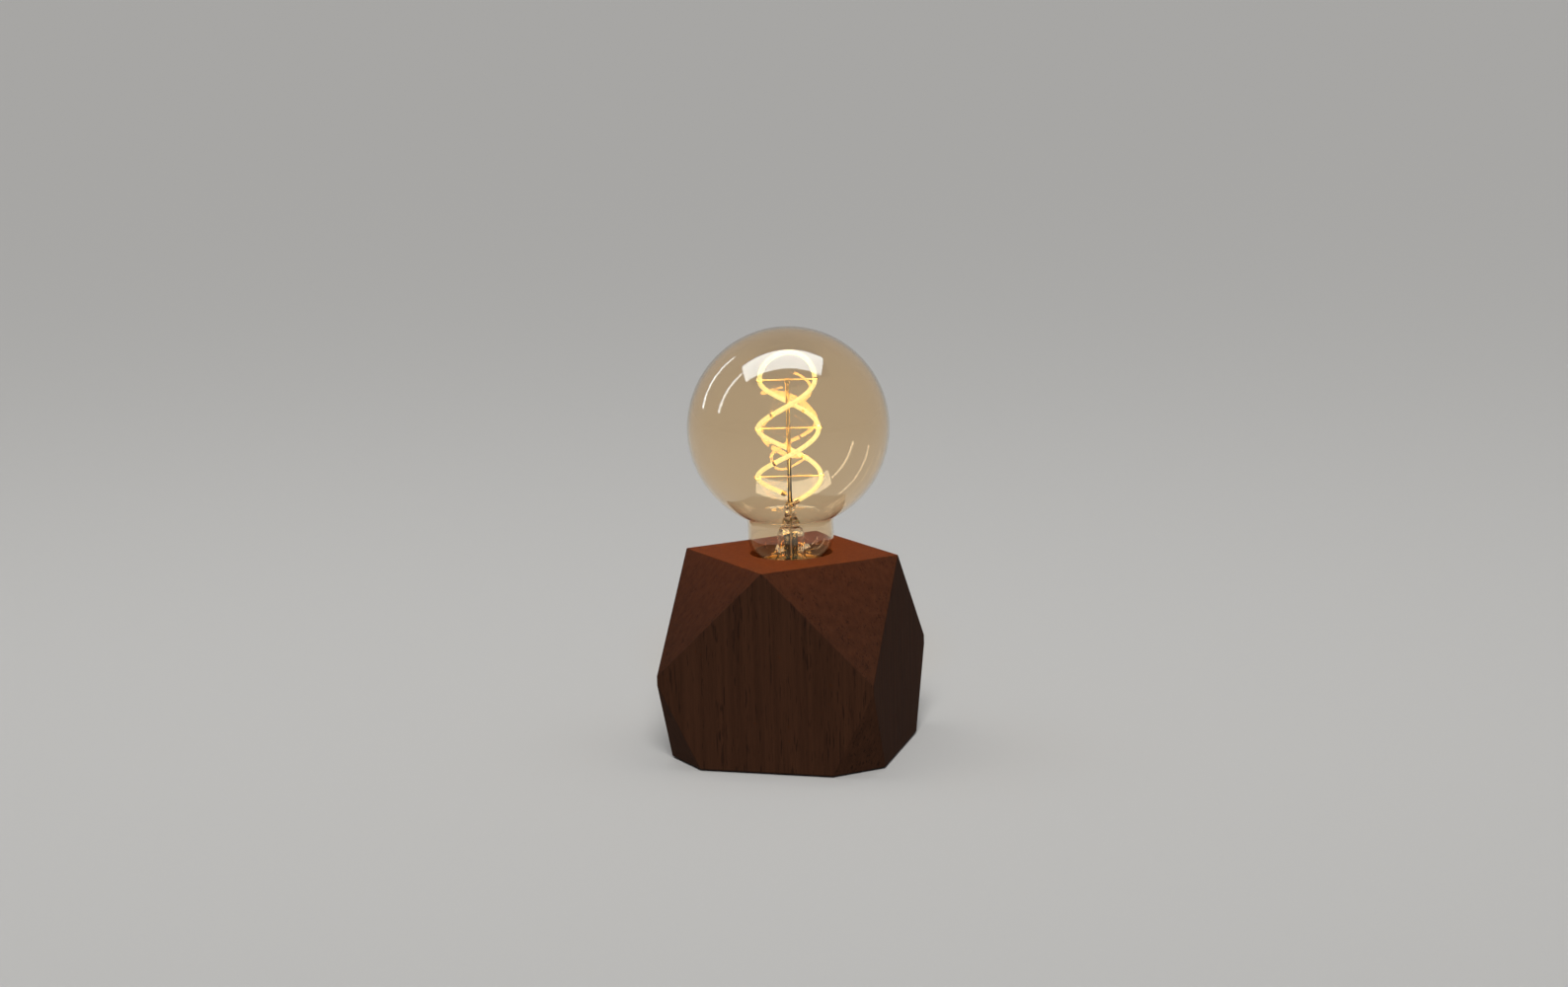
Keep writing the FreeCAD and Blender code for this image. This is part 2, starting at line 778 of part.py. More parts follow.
os.makedirs("parts", exist_ok=True)
print("filament: least gap to itself %.2f mm" % least_gap())
for node, shape in build().items():
    if isinstance(shape, list):
        shape = Part.makeCompound([solid for piece in shape for solid in piece.Solids])
    print("%-22s solids %d valid %s volume %.1f"
          % (node, len(shape.Solids), shape.isValid(), shape.Volume))
    shape.exportStep("parts/%s.step" % node)
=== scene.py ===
import math

import bmesh
import bpy
import numpy as np
from mathutils import Matrix, Vector


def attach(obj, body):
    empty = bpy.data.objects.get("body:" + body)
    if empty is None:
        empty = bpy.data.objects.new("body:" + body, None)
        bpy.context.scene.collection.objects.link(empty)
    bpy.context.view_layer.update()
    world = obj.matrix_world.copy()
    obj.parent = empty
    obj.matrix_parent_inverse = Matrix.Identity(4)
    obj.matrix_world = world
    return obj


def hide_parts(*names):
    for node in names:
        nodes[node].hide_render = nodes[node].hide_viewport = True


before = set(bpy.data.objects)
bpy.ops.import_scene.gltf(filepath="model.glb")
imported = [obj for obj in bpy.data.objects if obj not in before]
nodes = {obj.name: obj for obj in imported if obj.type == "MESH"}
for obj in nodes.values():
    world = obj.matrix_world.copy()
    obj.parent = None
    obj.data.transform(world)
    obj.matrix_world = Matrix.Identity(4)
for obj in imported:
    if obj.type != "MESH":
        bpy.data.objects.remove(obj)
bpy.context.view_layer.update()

# Base block. One piece of walnut with upright grain, sawn to a square prism, its eight corners
# cut off flat, sanded, stained dark and rubbed with satin oil. The edges are only just eased.

MM = 0.001
WALNUT_DARK, WALNUT_LIGHT = (0.027, 0.0112, 0.0061), (0.040, 0.0163, 0.0086)
LATEWOOD, FIBRE, PORE = (0.014, 0.0062, 0.0040), (0.056, 0.023, 0.012), (0.0075, 0.0040, 0.0032)
PITH = (-0.11, 0.19, 0.0)
YEAR_RING = 0.0054


def new_finish(name, colour, roughness, metallic=0.0):
    """A material with one Principled shader. Gives the material, its node tree, the shader
    and the object coordinates."""
    finish = bpy.data.materials.new(name)
    finish.use_nodes = True
    tree = finish.node_tree
    shader = tree.nodes["Principled BSDF"]
    shader.inputs["Base Color"].default_value = (*colour, 1)
    shader.inputs["Roughness"].default_value = roughness
    shader.inputs["Metallic"].default_value = metallic
    place = tree.nodes.new("ShaderNodeTexCoord").outputs["Object"]
    return finish, tree, shader, place


def scaled(tree, place, scale, shift=(0, 0, 0)):
    """Coordinates multiplied by one factor per axis, after a shift in metres."""
    mapping = tree.nodes.new("ShaderNodeMapping")
    mapping.vector_type = "POINT"
    mapping.inputs["Location"].default_value = [-s * k for s, k in zip(shift, scale)]
    mapping.inputs["Scale"].default_value = scale
    tree.links.new(place, mapping.inputs["Vector"])
    return mapping.outputs["Vector"]


def noise(tree, place, detail=3.0, roughness=0.5, distortion=0.0):
    """Fractal noise of scale 1 on coordinates that are scaled already."""
    node = tree.nodes.new("ShaderNodeTexNoise")
    node.inputs["Scale"].default_value = 1.0
    node.inputs["Detail"].default_value = detail
    node.inputs["Roughness"].default_value = roughness
    node.inputs["Distortion"].default_value = distortion
    tree.links.new(place, node.inputs["Vector"])
    return node.outputs["Fac"]


def reckon(tree, operation, *values):
    """A Math node. Each value is a number or a socket."""
    node = tree.nodes.new("ShaderNodeMath")
    node.operation = operation
    for socket, value in zip(node.inputs, values):
        if isinstance(value, (int, float)):
            socket.default_value = value
        else:
            tree.links.new(value, socket)
    return node.outputs["Value"]


def stretched(tree, value, low, high, to_low=0.0, to_high=1.0):
    """A value's range taken to another range, held at both ends."""
    node = tree.nodes.new("ShaderNodeMapRange")
    for name, number in zip(("From Min", "From Max", "To Min", "To Max"), (low, high, to_low, to_high)):
        node.inputs[name].default_value = number
    tree.links.new(value, node.inputs["Value"])
    return node.outputs["Result"]


def blended(tree, share, first, second, kind="MIX"):
    """Two colours mixed by a share. Each colour is a tuple or a socket."""
    node = tree.nodes.new("ShaderNodeMix")
    node.data_type = "RGBA"
    node.blend_type = kind
    for name, value in (("Factor_Float", share), ("A_Color", first), ("B_Color", second)):
        socket = next(s for s in node.inputs if s.identifier == name)
        if isinstance(value, tuple):
            socket.default_value = (*value, 1)
        elif isinstance(value, (int, float)):
            socket.default_value = value
        else:
            tree.links.new(value, socket)
    return next(s for s in node.outputs if s.identifier == "Result_Color")


def bumped(tree, shader, height, depth):
    """A bump of the given depth in metres for a height between 0 and 1."""
    node = tree.nodes.new("ShaderNodeBump")
    node.inputs["Strength"].default_value = 1.0
    node.inputs["Distance"].default_value = depth
    tree.links.new(height, node.inputs["Height"])
    tree.links.new(node.outputs["Normal"], shader.inputs["Normal"])


def dress(node_name, finish):
    """Puts a finish on every material slot of a CAD node."""
    mesh = nodes[node_name].data
    mesh.materials.clear()
    mesh.materials.append(finish)


def walnut():
    """Growth rings are cylinders about an upright pith beyond the block's back corner, bent by
    slow noise, and only shade the stain a little. Pores are noise drawn out along the grain and
    cut to short dark streaks, crowded in bands, and fibres are the same, finer and fainter."""
    finish, tree, shader, place = new_finish("stained_walnut", WALNUT_LIGHT, 0.77)
    bend = noise(tree, scaled(tree, place, (12, 12, 4)), 2.0)
    split = tree.nodes.new("ShaderNodeSeparateXYZ")
    tree.links.new(scaled(tree, place, (1, 1, 1), PITH), split.inputs["Vector"])
    across = reckon(tree, "POWER", split.outputs["X"], 2.0)
    deep = reckon(tree, "POWER", split.outputs["Y"], 2.0)
    reach = reckon(tree, "SQRT", reckon(tree, "ADD", across, deep))
    reach = reckon(tree, "ADD", reach, reckon(tree, "MULTIPLY", bend, 0.030))
    year = reckon(tree, "SINE", reckon(tree, "MULTIPLY", reach, 2 * math.pi / YEAR_RING))
    year = stretched(tree, year, -1.0, 1.0)
    pores = noise(tree, scaled(tree, place, (1150, 1150, 105)), 2.0, 0.5)
    crowd = noise(tree, scaled(tree, place, (210, 210, 14)), 2.0)
    pores = reckon(tree, "ADD", pores, reckon(tree, "MULTIPLY", reckon(tree, "SUBTRACT", crowd, 0.5), 0.35))
    pores = stretched(tree, pores, 0.60, 0.70)
    fibres = noise(tree, scaled(tree, place, (2400, 2400, 120)), 3.0, 0.6)
    streaks = noise(tree, scaled(tree, place, (420, 420, 9)), 3.0, 0.6)
    tone = blended(tree, stretched(tree, streaks, 0.32, 0.68), WALNUT_DARK, WALNUT_LIGHT)
    tone = blended(tree, reckon(tree, "MULTIPLY", year, 0.12), tone, LATEWOOD)
    tone = blended(tree, stretched(tree, fibres, 0.35, 0.70, 0.0, 0.30), tone, FIBRE)
    tone = blended(tree, reckon(tree, "MULTIPLY", pores, 0.55), tone, PORE)
    tree.links.new(tone, shader.inputs["Base Color"])
    tree.links.new(stretched(tree, fibres, 0.3, 0.7, 0.70, 0.84), shader.inputs["Roughness"])
    height = reckon(tree, "SUBTRACT", reckon(tree, "MULTIPLY", fibres, 0.25), pores)
    bumped(tree, shader, height, 0.05 * MM)
    shader.inputs["Specular IOR Level"].default_value = 0.03
    return finish


dress("wood_body", walnut())

# Underside. Four felt pads, a black moulded cover let into a rabbet, and three zinc-plated
# wood screws through the cover.


def felt():
    """Pressed fibres: fine noise in colour and height."""
    finish, tree, shader, place = new_finish("black_felt", (0.02, 0.02, 0.021), 0.95)
    fibres = noise(tree, scaled(tree, place, (1800, 1800, 1800)), 4.0, 0.7)
    tree.links.new(blended(tree, fibres, (0.010, 0.010, 0.011), (0.050, 0.048, 0.046)),
                   shader.inputs["Base Color"])
    bumped(tree, shader, fibres, 0.25 * MM)
    return finish


def moulded_black():
    """Satin black plastic with a fine spark-eroded grain."""
    finish, tree, shader, place = new_finish("moulded_black", (0.014, 0.014, 0.015), 0.42)
    grain = noise(tree, scaled(tree, place, (900, 900, 900)), 2.0)
    cloud = noise(tree, scaled(tree, place, (60, 60, 60)), 2.0)
    tree.links.new(blended(tree, cloud, (0.011, 0.011, 0.012), (0.019, 0.019, 0.020)),
                   shader.inputs["Base Color"])
    tree.links.new(stretched(tree, grain, 0.3, 0.7, 0.34, 0.52), shader.inputs["Roughness"])
    bumped(tree, shader, grain, 0.03 * MM)
    return finish


def zinc_plate():
    """Zinc plating: cold grey metal, cloudy, with fine turning marks round the lamp's axis."""
    finish, tree, shader, place = new_finish("zinc_plate", (0.62, 0.62, 0.60), 0.30, 1.0)
    cloud = noise(tree, scaled(tree, place, (260, 260, 260)), 3.0)
    tree.links.new(blended(tree, cloud, (0.50, 0.50, 0.49), (0.72, 0.71, 0.68)),
                   shader.inputs["Base Color"])
    tree.links.new(stretched(tree, cloud, 0.3, 0.7, 0.22, 0.42), shader.inputs["Roughness"])
    bumped(tree, shader, noise(tree, scaled(tree, place, (400, 400, 6000)), 1.0), 0.01 * MM)
    return finish


black = moulded_black()
zinc = zinc_plate()
dress("foot_pads", felt())
dress("bottom_cover", black)
dress("cover_screws", zinc)

# Cord bush. A flanged black sleeve pressed into the hole in the middle of the back face.

dress("cord_bush", black)

# Threaded tube, nut and washers. Zinc-plated, they clamp the lampholder to the web of wood
# between the well and the wiring recess.

for fixing in ("threaded_nipple", "nipple_washer", "nipple_nut", "lock_washer", "holder_grub_screw"):
    dress(fixing, zinc)

# Lampholder. A black thermoset cup and skirt round a white glazed ceramic insert, with sprung
# brass contacts and plated screws.


def glazed_ceramic():
    """White steatite with a thin glaze: almost plain, a few darker specks."""
    finish, tree, shader, place = new_finish("glazed_ceramic", (0.80, 0.78, 0.74), 0.22)
    specks = stretched(tree, noise(tree, scaled(tree, place, (700, 700, 700)), 2.0), 0.66, 0.74)
    cloud = noise(tree, scaled(tree, place, (80, 80, 80)), 2.0)
    tone = blended(tree, cloud, (0.76, 0.74, 0.70), (0.84, 0.82, 0.78))
    tree.links.new(blended(tree, specks, tone, (0.42, 0.38, 0.32)), shader.inputs["Base Color"])
    bumped(tree, shader, cloud, 0.05 * MM)
    return finish


def plain_brass():
    """Rolled brass strip, slightly tarnished in clouds."""
    finish, tree, shader, place = new_finish("plain_brass", (0.80, 0.58, 0.26), 0.28, 1.0)
    cloud = noise(tree, scaled(tree, place, (220, 220, 220)), 4.0)
    tree.links.new(blended(tree, cloud, (0.62, 0.42, 0.18), (0.88, 0.66, 0.32)),
                   shader.inputs["Base Color"])
    tree.links.new(stretched(tree, cloud, 0.3, 0.7, 0.20, 0.42), shader.inputs["Roughness"])
    return finish


brass = plain_brass()
dress("holder_cap", black)
dress("holder_shell", black)
dress("holder_insert", glazed_ceramic())
for contact in ("socket_centre_contact", "socket_side_contact", "terminal_plates"):
    dress(contact, brass)
dress("terminal_screws", zinc)

# E27 screw threads. Both shells are thin sheet with a round thread rolled into it: brass in the
# lampholder, gold-coloured on the bulb. The bulb's crests lie in the socket's grooves, so the two
# share one phase about the axis.

THREAD_PITCH = 25.4 / 7 * MM
SOCKET_LOW, SOCKET_RIM = 58.5 * MM, 86.0 * MM
CAP_LOW, CAP_RIM = 69.0 * MM, 90.5 * MM
THREAD_DEPTH, SOCKET_SHEET, CAP_SHEET = 0.55 * MM, 0.37 * MM, 0.33 * MM


def eased(share):
    """0 to 1 with level ends: 3 s^2 - 2 s^3."""
    share = np.clip(share, 0, 1)
    return share * share * (3 - 2 * share)


def ring(columns):
    """One turn of angles as a row."""
    return np.linspace(0, 2 * math.pi, columns, endpoint=False)[None, :]


def add_piece(name, points, finish, body, along=False):
    """A piece from a grid of points[i, j] whose columns close into rings. along joins the last
    row to the first. Rows of one point, such as poles, are merged, and what they leave without
    a face is dropped. Rows go up on an outside, so the faces point outwards."""
    rows, columns = points.shape[:2]
    i = np.arange(rows if along else rows - 1)[:, None]
    j = np.arange(columns)[None, :]
    below, above, ahead = i * columns, (i + 1) % rows * columns, (j + 1) % columns
    faces = np.stack(np.broadcast_arrays(below + j, below + ahead, above + ahead, above + j), axis=-1)
    mesh = bpy.data.meshes.new(name)
    mesh.from_pydata(points.reshape(-1, 3).tolist(), [], faces.reshape(-1, 4).tolist())
    tidy = bmesh.new()
    tidy.from_mesh(mesh)
    bmesh.ops.remove_doubles(tidy, verts=tidy.verts, dist=1e-7)
    bmesh.ops.delete(tidy, geom=[e for e in tidy.edges if not e.link_faces], context="EDGES")
    tidy.to_mesh(mesh)
    tidy.free()
    mesh.polygons.foreach_set("use_smooth", np.ones(len(mesh.polygons), bool))
    mesh.materials.append(finish)
    piece = bpy.data.objects.new(name, mesh)
    bpy.context.scene.collection.objects.link(piece)
    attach(piece, body)
    return piece


def revolved(radius, height, columns):
    """Points of a turned piece from its radii and heights, each one number or one row a line."""
    turn = ring(columns)
    radius = np.asarray(radius, float).reshape(-1, 1) if np.ndim(radius) == 1 else radius
    height = np.asarray(height, float).reshape(-1, 1) if np.ndim(height) == 1 else height
    return np.stack([radius * np.cos(turn), radius * np.sin(turn), height + 0 * turn], axis=-1)


def rolled_sheet(below, low, high, radius, depth, run_out, rest, above, sheet, columns=144):
    """A thin turned sheet with a thread, outside then inside. In the thread the radius is
    radius + depth * cos(2 pi z / pitch - angle), and at both ends it fades over run_out to
    radius + depth * rest. below and above are the plain (radius, height) rows."""
    height = np.linspace(low, high, int((high - low) / THREAD_PITCH * 14))[:, None]
    share = eased((height - low) / run_out) * eased((high - height) / run_out)
    wave = np.cos(2 * math.pi * height / THREAD_PITCH - ring(columns))
    thread = radius + depth * (share * wave + (1 - share) * rest)
    rows = [revolved(*np.array(below, float).T, columns), revolved(thread, height, columns),
            revolved(*np.array(above, float).T, columns)]
    outside = np.concatenate(rows)
    reach = np.linalg.norm(outside[..., :2], axis=-1, keepdims=True)
    inside = outside.copy()
    inside[..., :2] *= (reach - sheet) / reach
    inside[: len(below), :, 2] += np.linspace(sheet, 0, len(below))[:, None]
    return np.concatenate([outside, inside[::-1]])


socket_screw_shell = add_piece(
    "socket_screw_shell",
    rolled_sheet([(9.4 * MM, SOCKET_LOW), (13.2 * MM, SOCKET_LOW), (13.6 * MM, SOCKET_LOW + 0.4 * MM)],
                 SOCKET_LOW + 1.5 * MM, SOCKET_RIM - 1.4 * MM, 13.22 * MM, THREAD_DEPTH, 2.6 * MM, 1.0,
                 [(13.77 * MM, SOCKET_RIM - 1.0 * MM), (14.2 * MM, SOCKET_RIM)], SOCKET_SHEET),
    brass, "base", along=True)
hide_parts("socket_thread_shell")


def gold_coat():
    """Gold-coloured plating on a rolled cap: smooth, with faint rolling marks round the axis."""
    finish, tree, shader, place = new_finish("gold_coat", (0.86, 0.58, 0.24), 0.24, 1.0)
    cloud = noise(tree, scaled(tree, place, (160, 160, 160)), 3.0)
    tree.links.new(blended(tree, cloud, (0.76, 0.48, 0.18), (0.92, 0.66, 0.32)),
                   shader.inputs["Base Color"])
    tree.links.new(stretched(tree, cloud, 0.3, 0.7, 0.16, 0.34), shader.inputs["Roughness"])
    bumped(tree, shader, noise(tree, scaled(tree, place, (150, 150, 7000)), 1.0), 0.006 * MM)
    return finish


bulb_screw_cap = add_piece(
    "bulb_screw_cap",
    rolled_sheet([(9.6 * MM, CAP_LOW), (11.6 * MM, CAP_LOW), (12.0 * MM, CAP_LOW + 0.5 * MM)],
                 CAP_LOW + 1.0 * MM, CAP_RIM - 5.0 * MM, 12.6 * MM, THREAD_DEPTH, 2.4 * MM, -1.0,
                 [(12.2 * MM, CAP_RIM - 4.9 * MM), (12.9 * MM, CAP_RIM - 4.5 * MM),
                  (13.15 * MM, CAP_RIM - 4.2 * MM), (13.2 * MM, CAP_RIM - 2.5 * MM),
                  (13.2 * MM, CAP_RIM - 0.9 * MM), (13.45 * MM, CAP_RIM - 0.4 * MM),
                  (13.8 * MM, CAP_RIM)], CAP_SHEET),
    gold_coat(), "bulb", along=True)
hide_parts("bulb_cap_shell")

# Under the cap. A cone of black glass holds the soldered tip contact, and a ring of grey cement
# holds the glass in the cap.


def black_glass():
    """Pressed black glass with flow marks and a few pits."""
    finish, tree, shader, place = new_finish("black_glass", (0.012, 0.010, 0.012), 0.12)
    flow = noise(tree, scaled(tree, place, (180, 180, 600)), 3.0, 0.6, 0.6)
    tree.links.new(blended(tree, flow, (0.008, 0.007, 0.009), (0.022, 0.017, 0.022)),
                   shader.inputs["Base Color"])
    bumped(tree, shader, flow, 0.08 * MM)
    return finish


def solder():
    """Tinned contact with a domed, slightly rough surface of solder."""
    finish, tree, shader, place = new_finish("solder", (0.66, 0.66, 0.65), 0.34, 1.0)
    lumps = noise(tree, scaled(tree, place, (500, 500, 500)), 3.0)
    tree.links.new(blended(tree, lumps, (0.50, 0.50, 0.50), (0.76, 0.75, 0.73)),
                   shader.inputs["Base Color"])
    bumped(tree, shader, lumps, 0.12 * MM)
    return finish


def cement():
    """Grey lamp cement with sandy grains."""
    finish, tree, shader, place = new_finish("cement", (0.40, 0.37, 0.33), 0.9)
    grains = noise(tree, scaled(tree, place, (2200, 2200, 2200)), 4.0, 0.7)
    tree.links.new(blended(tree, grains, (0.24, 0.22, 0.19), (0.56, 0.52, 0.46)),
                   shader.inputs["Base Color"])
    bumped(tree, shader, grains, 0.12 * MM)
    return finish


dress("cap_insulator", black_glass())
dress("tip_contact", solder())
dress("cap_cement", cement())

# Driver in the cap. A round fibreglass board with green lacquer carries a smoothing capacitor
# in an aluminium can, two moulded chips and a fusible resistor.


def lacquered_board():
    """Green lacquer over copper tracks, which are the lines of a brick pattern, raised a little."""
    finish, tree, shader, place = new_finish("lacquered_board", (0.02, 0.14, 0.06), 0.35)
    tracks = tree.nodes.new("ShaderNodeTexBrick")
    tracks.inputs["Scale"].default_value = 320.0
    tracks.inputs["Mortar Size"].default_value = 0.07
    tracks.inputs["Color1"].default_value = (0, 0, 0, 1)
    tracks.inputs["Color2"].default_value = (0, 0, 0, 1)
    tracks.inputs["Mortar"].default_value = (1, 1, 1, 1)
    tree.links.new(place, tracks.inputs["Vector"])
    weave = noise(tree, scaled(tree, place, (1600, 1600, 1600)), 2.0)
    tone = blended(tree, weave, (0.012, 0.10, 0.04), (0.025, 0.17, 0.07))
    tree.links.new(blended(tree, tracks.outputs["Fac"], tone, (0.05, 0.26, 0.10)),
                   shader.inputs["Base Color"])
    bumped(tree, shader, tracks.outputs["Fac"], 0.04 * MM)
    return finish


def drawn_can():
    """Drawn aluminium can: fine upright drawing marks."""
    finish, tree, shader, place = new_finish("drawn_can", (0.74, 0.75, 0.77), 0.3, 1.0)
    marks = noise(tree, scaled(tree, place, (3500, 3500, 60)), 2.0)
    tree.links.new(blended(tree, marks, (0.60, 0.61, 0.63), (0.84, 0.85, 0.87)),
                   shader.inputs["Base Color"])
    tree.links.new(stretched(tree, marks, 0.3, 0.7, 0.22, 0.42), shader.inputs["Roughness"])
    return finish


def chip_resin():
    """Matt black moulding resin with a fine grain."""
    finish, tree, shader, place = new_finish("chip_resin", (0.02, 0.02, 0.022), 0.6)
    grain = noise(tree, scaled(tree, place, (3000, 3000, 3000)), 2.0)
    tree.links.new(blended(tree, grain, (0.014, 0.014, 0.016), (0.032, 0.032, 0.034)),
                   shader.inputs["Base Color"])
    bumped(tree, shader, grain, 0.03 * MM)
    return finish


dress("driver_board", lacquered_board())
dress("driver_capacitor", drawn_can())
dress("driver_chips", chip_resin())

# Glass envelope. One thin bubble of clear glass with a faint amber coat, blown to a globe, with
# a hollow curve into a short neck that ends in the cap.

WALL = 0.9 * MM
GLOBE, GLOBE_RADIUS = (0.0, 154.3 * MM), 47.5 * MM
SHOULDER, SHOULDER_RADIUS = (7.0 * MM, 103.0 * MM), 13.2 * MM
COLLAR_RADIUS, NECK_RADIUS = 12.4 * MM, 20.2 * MM


def arc(centre, radius, start, end, count):
    """Radii and heights of an arc about a centre, from one angle to another."""
    angle = np.linspace(start, end, count)
    return np.stack([centre[0] + radius * np.cos(angle), centre[1] + radius * np.sin(angle)], axis=-1)


def hollow(line, centre, radius, fillet, count):
    """The arc that leads from an upright line to a circle above it, hollow side outwards: its own
    centre stands a fillet outside the line and a radius plus a fillet from the circle's centre."""
    hub = line + fillet
    rise = math.sqrt((radius + fillet) ** 2 - (hub - centre[0]) ** 2)
    end = math.atan2(rise, centre[0] - hub)
    return arc((hub, centre[1] - rise), fillet, math.pi, end, count), end - math.pi


def bubble(inset):
    """The envelope's profile from the collar's foot to the pole, inset from the outside."""
    collar, shoulder = COLLAR_RADIUS - inset, SHOULDER_RADIUS - inset
    neck, globe = NECK_RADIUS - inset, GLOBE_RADIUS - inset
    low, low_end = hollow(collar, SHOULDER, shoulder, 1.0 * MM + inset, 14)
    high, high_end = hollow(neck, GLOBE, globe, 4.0 * MM + inset, 22)
    foot = np.array([[collar, 84.5 * MM], [collar, 87.0 * MM]])
    return np.concatenate([foot, low, arc(SHOULDER, shoulder, low_end, 0, 26)[1:], high,
                           arc(GLOBE, globe, high_end, math.pi / 2, 110)[1:]])


def clear_glass(name, tint, shadow, wobble):
    """Glass whose shadow rays pass straight through. tint is the colour of one wall, and a slow
    noise moves its surface by wobble metres."""
    finish, tree, shader, place = new_finish(name, tint, 0.0)
    shader.inputs["Transmission Weight"].default_value = 1.0
    shader.inputs["IOR"].default_value = 1.5
    bumped(tree, shader, noise(tree, scaled(tree, place, (55, 55, 40)), 2.0), wobble)
    through = tree.nodes.new("ShaderNodeBsdfTransparent")
    through.inputs["Color"].default_value = (*shadow, 1)
    path = tree.nodes.new("ShaderNodeLightPath")
    choice = tree.nodes.new("ShaderNodeMixShader")
    tree.links.new(path.outputs["Is Shadow Ray"], choice.inputs["Fac"])
    tree.links.new(shader.outputs["BSDF"], choice.inputs[1])
    tree.links.new(through.outputs["BSDF"], choice.inputs[2])
    tree.links.new(choice.outputs["Shader"], tree.nodes["Material Output"].inputs["Surface"])
    return finish


walls = np.concatenate([bubble(0), bubble(WALL)[::-1]])
envelope = add_piece("bulb_envelope", revolved(walls[:, 0], walls[:, 1], 192),
                     clear_glass("amber_glass", (0.97, 0.83, 0.64), (0.985, 0.92, 0.82), 0.02 * MM),
                     "bulb", along=True)
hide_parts("bulb_glass")

# Stem. A flared tube of clear glass is fused to the neck, and its top is squeezed flat on the
# wires while soft, which leaves it wavy. The exhaust tube hangs inside and the rod stands on top.

TURN = math.radians(15.7)


def in_winding(points):
    """Turns points with the filament's long axis about the bulb's axis."""
    c, s = math.cos(TURN), math.sin(TURN)
    return np.stack([c * points[..., 0] - s * points[..., 1], s * points[..., 0] + c * points[..., 1],
                     points[..., 2]], axis=-1)


def smooth_line(knots, count):
    """A smooth line through knots of (height, value): Hermite pieces whose slope at a knot is that
    of its neighbours. Gives heights and values."""
    knots = np.array(knots, float)
    slope = np.gradient(knots[:, 1], knots[:, 0])
    height = np.linspace(knots[0, 0], knots[-1, 0], count)
    k = np.clip(np.searchsorted(knots[:, 0], height) - 1, 0, len(knots) - 2)
    step = knots[k + 1, 0] - knots[k, 0]
    s = (height - knots[k, 0]) / step
    value = ((2 * s ** 3 - 3 * s ** 2 + 1) * knots[k, 1] + (s ** 3 - 2 * s ** 2 + s) * step * slope[k]
             + (3 * s ** 2 - 2 * s ** 3) * knots[k + 1, 1] + (s ** 3 - s ** 2) * step * slope[k + 1])
    return height, value


def stem_walls():
    """Outside: a round tube whose two half widths part above the press's foot, with waves of up
    to 0.25 mm that grow towards the top. Inside: the tube's bore, closed by a dome."""
    columns = 72
    turn = ring(columns)
    tube = [(86, 9.6), (88, 9.0), (90, 8.1), (93, 6.7), (96, 6.25)]
    across = [(104, 6.2), (107, 5.2), (110, 3.6), (113, 2.7), (117.6, 2.5), (118.5, 2.1)]
    along = [(104, 6.3), (107, 6.0), (110, 5.3), (113, 5.1), (117.6, 5.0), (118.5, 4.4)]
    height, deep = smooth_line(tube + across, 130)
    wide = smooth_line(tube + along, 130)[1]
    ripple = np.sin(height[:, None] * 1.9 + 2 * np.sin(2 * turn))
    waves = 0.25 * eased((height - 100) / 10)[:, None] * ripple
    shape = np.stack([(deep[:, None] + waves * 0.6) * np.cos(turn), (wide[:, None] + waves) * np.sin(turn),
                      height[:, None] + 0 * turn], axis=-1)
    foot = revolved([11.45, 11.45, 10.6], [84.6, 85.2, 85.6], columns)
    share = np.array([0.75, 0.4, 0.0])[:, None]
    rounding = np.array([0.25, 0.42, 0.5])[:, None]
    top = np.stack([shape[-1, :, 0] * share, shape[-1, :, 1] * share, 118.5 + rounding + 0 * turn],
                   axis=-1)
    flared_bore = [(84.6, 10.4), (86, 9.0), (88, 7.7), (91, 6.2), (95.5, 5.15), (103, 5.1)]
    bore_height, bore = smooth_line(flared_bore, 60)
    dome = revolved([4.9, 4.2, 2.6, 0.0], [104.0, 104.8, 105.4, 105.6], columns)
    inside = np.concatenate([revolved(bore, bore_height, columns), dome])[::-1]
    return in_winding(np.concatenate([foot, shape, top, inside])) * MM


glass = clear_glass("drawn_glass", (0.99, 0.97, 0.93), (0.99, 0.98, 0.96), 0.02 * MM)
stem = add_piece("glass_stem", stem_walls(), glass, "bulb", along=True)
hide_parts("bulb_stem")

exhaust_outside = [(0.0, 79.0), (0.9, 79.1), (1.8, 79.6), (2.6, 80.4), (3.1, 81.6), (3.2, 83.0),
                   (3.2, 104.9)]
exhaust_inside = [(2.3, 104.9), (2.3, 83.4), (2.0, 82.3), (1.2, 81.7), (0.0, 81.5)]
exhaust_profile = np.array(exhaust_outside + exhaust_inside)
exhaust = add_piece("glass_exhaust_tube", revolved(exhaust_profile[:, 0], exhaust_profile[:, 1], 48) * MM,
                    glass, "bulb")
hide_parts("exhaust_tube")

rod_profile = np.array([(0.0, 118.6), (1.0, 118.6), (1.0, 174.8), (1.1, 175.2), (1.35, 175.7),
                        (1.45, 176.3), (1.35, 176.9), (1.0, 177.4), (0.5, 177.6), (0.0, 177.65)])
rod = add_piece("glass_rod", revolved(rod_profile[:, 0], rod_profile[:, 1], 40) * MM,
                clear_glass("rod_glass", (1.0, 0.88, 0.66), (0.99, 0.98, 0.96), 0.02 * MM), "bulb")
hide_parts("centre_rod")

# Wires. Three bright cross wires through the rod hook round the filament, nickel bands and end
# caps sit on it, and two lead-in wires carry the current up through the press.


